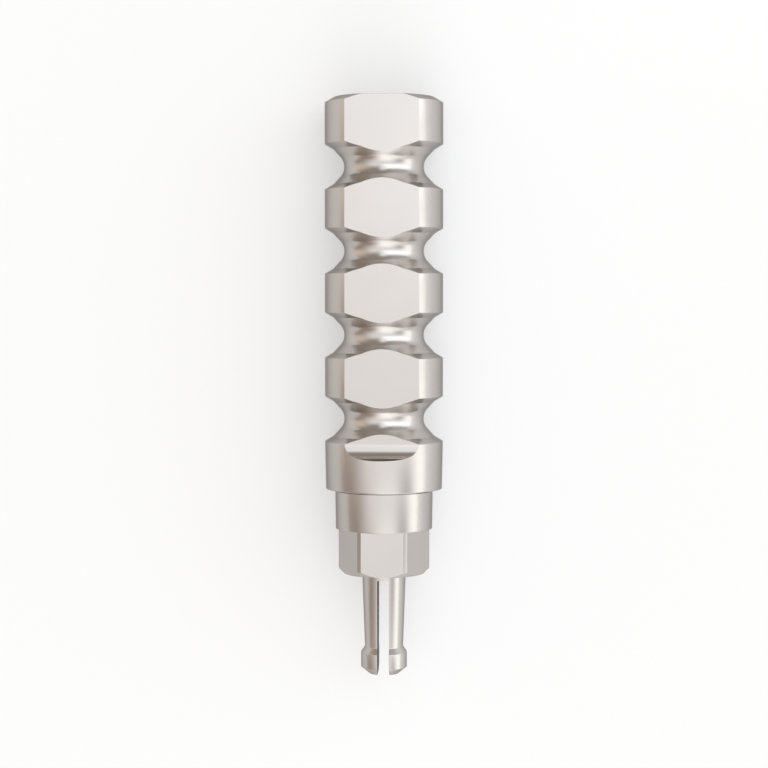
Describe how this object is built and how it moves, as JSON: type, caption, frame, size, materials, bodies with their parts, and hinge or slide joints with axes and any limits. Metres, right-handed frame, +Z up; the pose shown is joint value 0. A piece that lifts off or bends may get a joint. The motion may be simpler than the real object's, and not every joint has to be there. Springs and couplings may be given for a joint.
{
  "type": "impression coping",
  "caption": "Turned metal impression coping: grooved retention head with milled flats, platform collar, hexagonal index and a split snap stem that clicks into a dental implant.",
  "frame": {"origin": "on the table that the coping lies on, under the middle of its outer box", "axes": "+Y along the coping from the snap tip to the head end, +Z up from the table on the side of the front flat, +X to the right when the head end points up the page; the long axis dips by about 2 degrees towards the head end, because the back flat lies nearer to it than the collar"},
  "size_m": [0.0035, 0.0172, 0.0035],
  "materials": {
    "titanium_alloy": "fine-turned and satin-bright titanium alloy"
  },
  "bodies": {
    "root": {"impression_coping": "titanium_alloy"}
  },
  "joints": []
}
